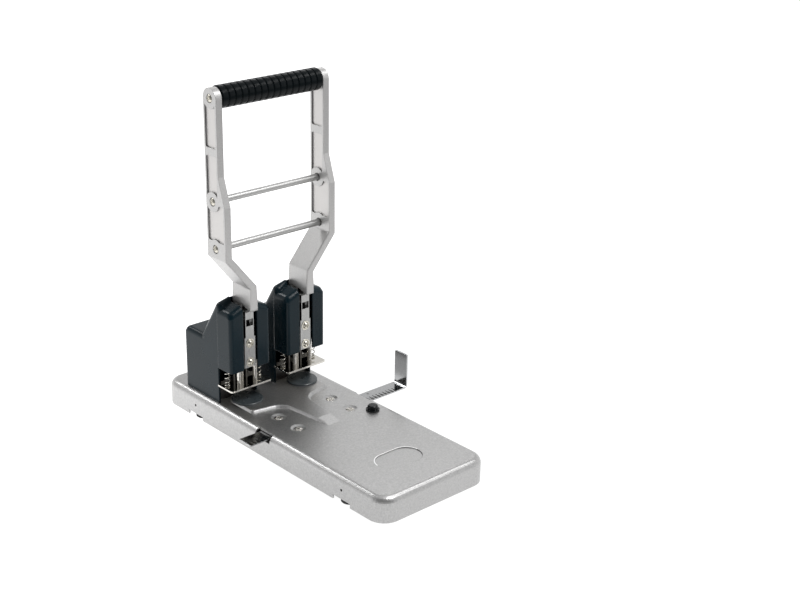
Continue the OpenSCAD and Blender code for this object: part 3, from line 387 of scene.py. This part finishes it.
deck_lacquer = deck_material()
arm_alloy = alloy_material()
gauge_steel = gauge_material()
zinc_plate = metal("zinc_plate", colour=(0.16, 0.155, 0.145), rough=0.40, vary=0.06, grain=700.0,
                   stretch=(1, 1, 0.2))
bright_nickel = metal("bright_nickel", colour=(0.62, 0.60, 0.56), rough=0.10, vary=0.03, grain=800.0,
                      grain_strength=0.05, bevel=0.0003)
domed_nickel = metal("domed_nickel", colour=(0.58, 0.555, 0.49), rough=0.07, vary=0.02, grain=800.0,
                     grain_strength=0.03, bevel=0.0003)
ground_rod = metal("ground_rod", colour=(0.47, 0.47, 0.465), rough=0.42, vary=0.02, grain=900.0,
                   grain_strength=0.0, stretch=(0.1, 1, 1))
ground_plunger = metal("ground_plunger", colour=(0.40, 0.40, 0.395), rough=0.30, vary=0.06, grain=900.0,
                       stretch=(1, 1, 0.12), bevel=0.0003)
spring_wire = metal("spring_wire", colour=(0.66, 0.64, 0.59), rough=0.16, vary=0.03, grain=900.0,
                    grain_strength=0.02)
charcoal_plastic = plastic("charcoal_plastic", colour=(0.0012, 0.0100, 0.0155), rough=0.24, grain=2600.0,
                           grain_strength=0.05, bevel=0.0019, specular=0.20)
black_plastic = plastic("black_plastic", colour=(0.0018, 0.0032, 0.0044), rough=0.22, grain=1800.0,
                        grain_strength=0.08, bevel=0.0006, specular=0.35)
disc_plastic = plastic("disc_plastic", colour=(0.040, 0.049, 0.054), rough=0.28, grain=900.0,
                       grain_strength=0.12, bevel=0.0004)
grip_rubber = plastic("grip_rubber", colour=(0.0008, 0.0026, 0.0036), rough=0.24, grain=1400.0,
                      grain_strength=0.08, bevel=0.0004, specular=0.12)
foot_rubber = plastic("foot_rubber", colour=grey(0.02), rough=0.8, grain=900.0, grain_strength=0.4)

# The finish of each node, where a pair of nodes is named without its side
finish_of = {
    "base_cover": deck_lacquer,
    "base_floor": zinc_plate,
    "rubber_feet": foot_rubber,
    "deck_screws": bright_nickel,
    "gauge_guide": zinc_plate,
    "gauge_clamp": zinc_plate,
    "gauge_bar": gauge_steel,
    "lock_knob": black_plastic,
    "lock_stud": zinc_plate,
    "cutting_disc": disc_plastic,
    "head_frame": zinc_plate,
    "frame_screws": zinc_plate,
    "housing": charcoal_plastic,
    "paper_backstop": zinc_plate,
    "stripper_plate": bright_nickel,
    "stripper_screws": bright_nickel,
    "guide_posts": bright_nickel,
    "return_springs": bright_nickel,
    "pivot_pin": bright_nickel,
    "plunger": ground_plunger,
    "cutter": bright_nickel,
    "clamp_screws": domed_nickel,
    "arm": arm_alloy,
    "drive_pin": bright_nickel,
    "rod_upper": ground_rod,
    "rod_lower": ground_rod,
    "grip_core": zinc_plate,
    "grip_sleeve": grip_rubber,
    "arm_screws": domed_nickel,
}

for name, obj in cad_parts.items():
    finish = finish_of[name.removesuffix("_left").removesuffix("_right")]
    if not obj.material_slots:
        obj.data.materials.append(finish)
    for slot in obj.material_slots:
        slot.material = finish


# Return springs: wound wire with closed ends

# Sizes in metres. The end curls lie one wire apart, with a little air between them
wire_r = 0.00055
wire_sides = 12
curls = 9
curl_steps = 28
end_pitch = 2.1 * wire_r


# One ring of points around the wire, and the faces between two such rings
def wire_ring(made, centre, out, along):
    up = out.cross(along)
    ring = []
    for k in range(wire_sides):
        angle = 2 * math.pi * k / wire_sides
        ring.append(made.verts.new(centre + wire_r * (math.cos(angle) * out + math.sin(angle) * up)))
    return ring


def wire_skin(made, ring, after):
    for k in range(wire_sides):
        beside = (k + 1) % wire_sides
        made.faces.new((ring[k], ring[beside], after[beside], after[k]))


# One spring, whose first and last curls lie close and whose others share the height evenly
def wind_spring(made, x, y, low_z, high_z, radius):
    mean_r = radius - wire_r
    pitch = (high_z - low_z - 2 * wire_r - 2 * end_pitch) / (curls - 2)
    rings = []
    for k in range(curls * curl_steps + 1):
        turn = k / curl_steps
        rise = end_pitch * min(turn, 1) + pitch * min(max(turn - 1, 0), curls - 2)
        rise += end_pitch * max(turn - curls + 1, 0)
        slope = pitch if 1 < turn < curls - 1 else end_pitch
        angle = 2 * math.pi * turn
        out = Vector((math.cos(angle), math.sin(angle), 0))
        centre = Vector((x, y, low_z + wire_r + rise)) + mean_r * out
        along = Vector((-out.y, out.x, slope / (2 * math.pi * mean_r))).normalized()
        rings.append(wire_ring(made, centre, out, along))
    for ring, after in zip(rings, rings[1:]):
        wire_skin(made, ring, after)
    made.faces.new(rings[0][::-1])
    made.faces.new(rings[-1])


# Both springs of one punching head
def wound_springs(node):
    low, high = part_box(node)
    radius = (high[1] - low[1]) / 2
    made = bmesh.new()
    for x in (low[0] + radius, high[0] - radius):
        wind_spring(made, x, (low[1] + high[1]) / 2, low[2], high[2], radius)
    bmesh.ops.recalc_face_normals(made, faces=made.faces)
    for face in made.faces:
        face.smooth = len(face.verts) == 4
    mesh = bpy.data.meshes.new(node + "_wire")
    made.to_mesh(mesh)
    made.free()
    mesh.materials.append(spring_wire)
    obj = bpy.data.objects.new(node + "_wire", mesh)
    scene.collection.objects.link(obj)
    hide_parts(node)
    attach(obj, "base")
    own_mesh(obj)


for side in ("left", "right"):
    wound_springs("return_springs_" + side)


# Floor, world and lights

floor_w = 14

# Level directions, as the photograph shows them
towards_front = (-0.645, -0.764, 0)
towards_right = (0.518, -0.855, 0)
towards_left = (-0.645, 0.764, 0)


# Changes smoothly from one level to the other over a reach in one direction
def fall_off(tree, place, towards, reach, levels):
    along = tree.nodes.new("ShaderNodeVectorMath")
    along.operation = "DOT_PRODUCT"
    along.inputs[1].default_value = towards
    link(tree, place, along.inputs[0])
    return map_range(tree, along.outputs["Value"], reach, levels, smooth=True)


# The paper sweep glows evenly where it shows, more to the left, and less far to the front and the right
def floor_material():
    mat, tree, shader = new_material("studio_floor")
    place = tree.nodes.new("ShaderNodeTexCoord").outputs["Object"]
    right = fall_off(tree, place, towards_right, reach=(0.53, 0.80), levels=(0.98, 0.30))
    front = fall_off(tree, place, towards_front, reach=(0.35, 0.62), levels=(0.98, 0.25))
    left = fall_off(tree, place, towards_left, reach=(0.0, 0.25), levels=(1.0, 1.45))
    glow = math_node(tree, "MULTIPLY", math_node(tree, "MINIMUM", right, front), left)
    shader.inputs["Base Color"].default_value = (0.12, 0.12, 0.12, 1)
    shader.inputs["Roughness"].default_value = 0.9
    shader.inputs["Specular IOR Level"].default_value = 0
    shader.inputs["Emission Color"].default_value = (1, 1, 1, 1)
    link(tree, glow, shader.inputs["Emission Strength"])
    return mat


# White low down, darker half way up, lighter overhead, and all of it dimmed at the front
def studio_world():
    sky_levels = [(0.0, 1.0), (0.30, 1.0), (0.42, 0.85), (0.55, 0.50),
                  (0.72, 0.42), (0.86, 0.65), (1.0, 0.75)]
    world = bpy.data.worlds.new("studio")
    world.use_nodes = True
    tree = world.node_tree
    background = tree.nodes["Background"]
    place = tree.nodes.new("ShaderNodeTexCoord").outputs["Generated"]
    split = tree.nodes.new("ShaderNodeSeparateXYZ")
    link(tree, place, split.inputs["Vector"])
    sky = ramp(tree, split.outputs["Z"], [(height, grey(level)) for height, level in sky_levels])
    dimmed = fall_off(tree, place, towards_front, reach=(0.1, 0.8), levels=(1.0, 0.3))
    link(tree, sky, background.inputs["Color"])
    link(tree, dimmed, background.inputs["Strength"])
    return world


def softbox(name, at, aim, size, power):
    data = bpy.data.lights.new(name, "AREA")
    data.shape = "RECTANGLE"
    data.size, data.size_y = size
    data.energy = power
    lamp = bpy.data.objects.new(name, data)
    scene.collection.objects.link(lamp)
    lamp.location = at
    x, y, z = (to - start for to, start in zip(aim, at))
    tilt = math.atan2(math.hypot(x, y), -z)
    lamp.rotation_euler = (tilt, 0, math.atan2(y, x) - math.pi / 2)


bpy.ops.mesh.primitive_plane_add(size=floor_w, location=(base_mid, 0, 0))
floor = bpy.context.object
floor.name = "studio_floor"
floor.data.materials.append(floor_material())

scene.world = studio_world()

softbox("box_behind", at=(-0.36, 1.43, 1.45), aim=(0, 0.08, 0.15), size=(0.6, 0.3), power=6)
softbox("box_right", at=(1.14, -0.40, 1.58), aim=(0, 0.0, 0.10), size=(0.7, 0.35), power=2.6)
softbox("box_front", at=(0.41, -0.92, 1.68), aim=(0, 0.05, 0.13), size=(0.65, 0.65), power=20)
softbox("box_far", at=(1.2, 1.05, 1.4), aim=(0, 0.0, 0.05), size=(0.8, 0.5), power=1.7)


# Camera, where the photograph was taken from

camera_left = 0.8941
camera_front = 1.0774
camera_z = 0.7273
camera_tilt = 21.80
camera_turn = 40.13
camera_lens = 62.74
camera_shift = 0.0913

camera_data = bpy.data.cameras.new("view")
camera = bpy.data.objects.new("view", camera_data)
scene.collection.objects.link(camera)
camera.location = (base_mid - camera_left, -camera_front, camera_z)
camera.rotation_euler = (math.radians(90 - camera_tilt), 0, math.radians(-camera_turn))
camera_data.lens = camera_lens
camera_data.sensor_width = 36
camera_data.sensor_fit = "HORIZONTAL"
camera_data.shift_x = camera_shift
camera_data.clip_start = 0.05
scene.camera = camera

scene.view_settings.view_transform = "Standard"
scene.view_settings.look = "None"
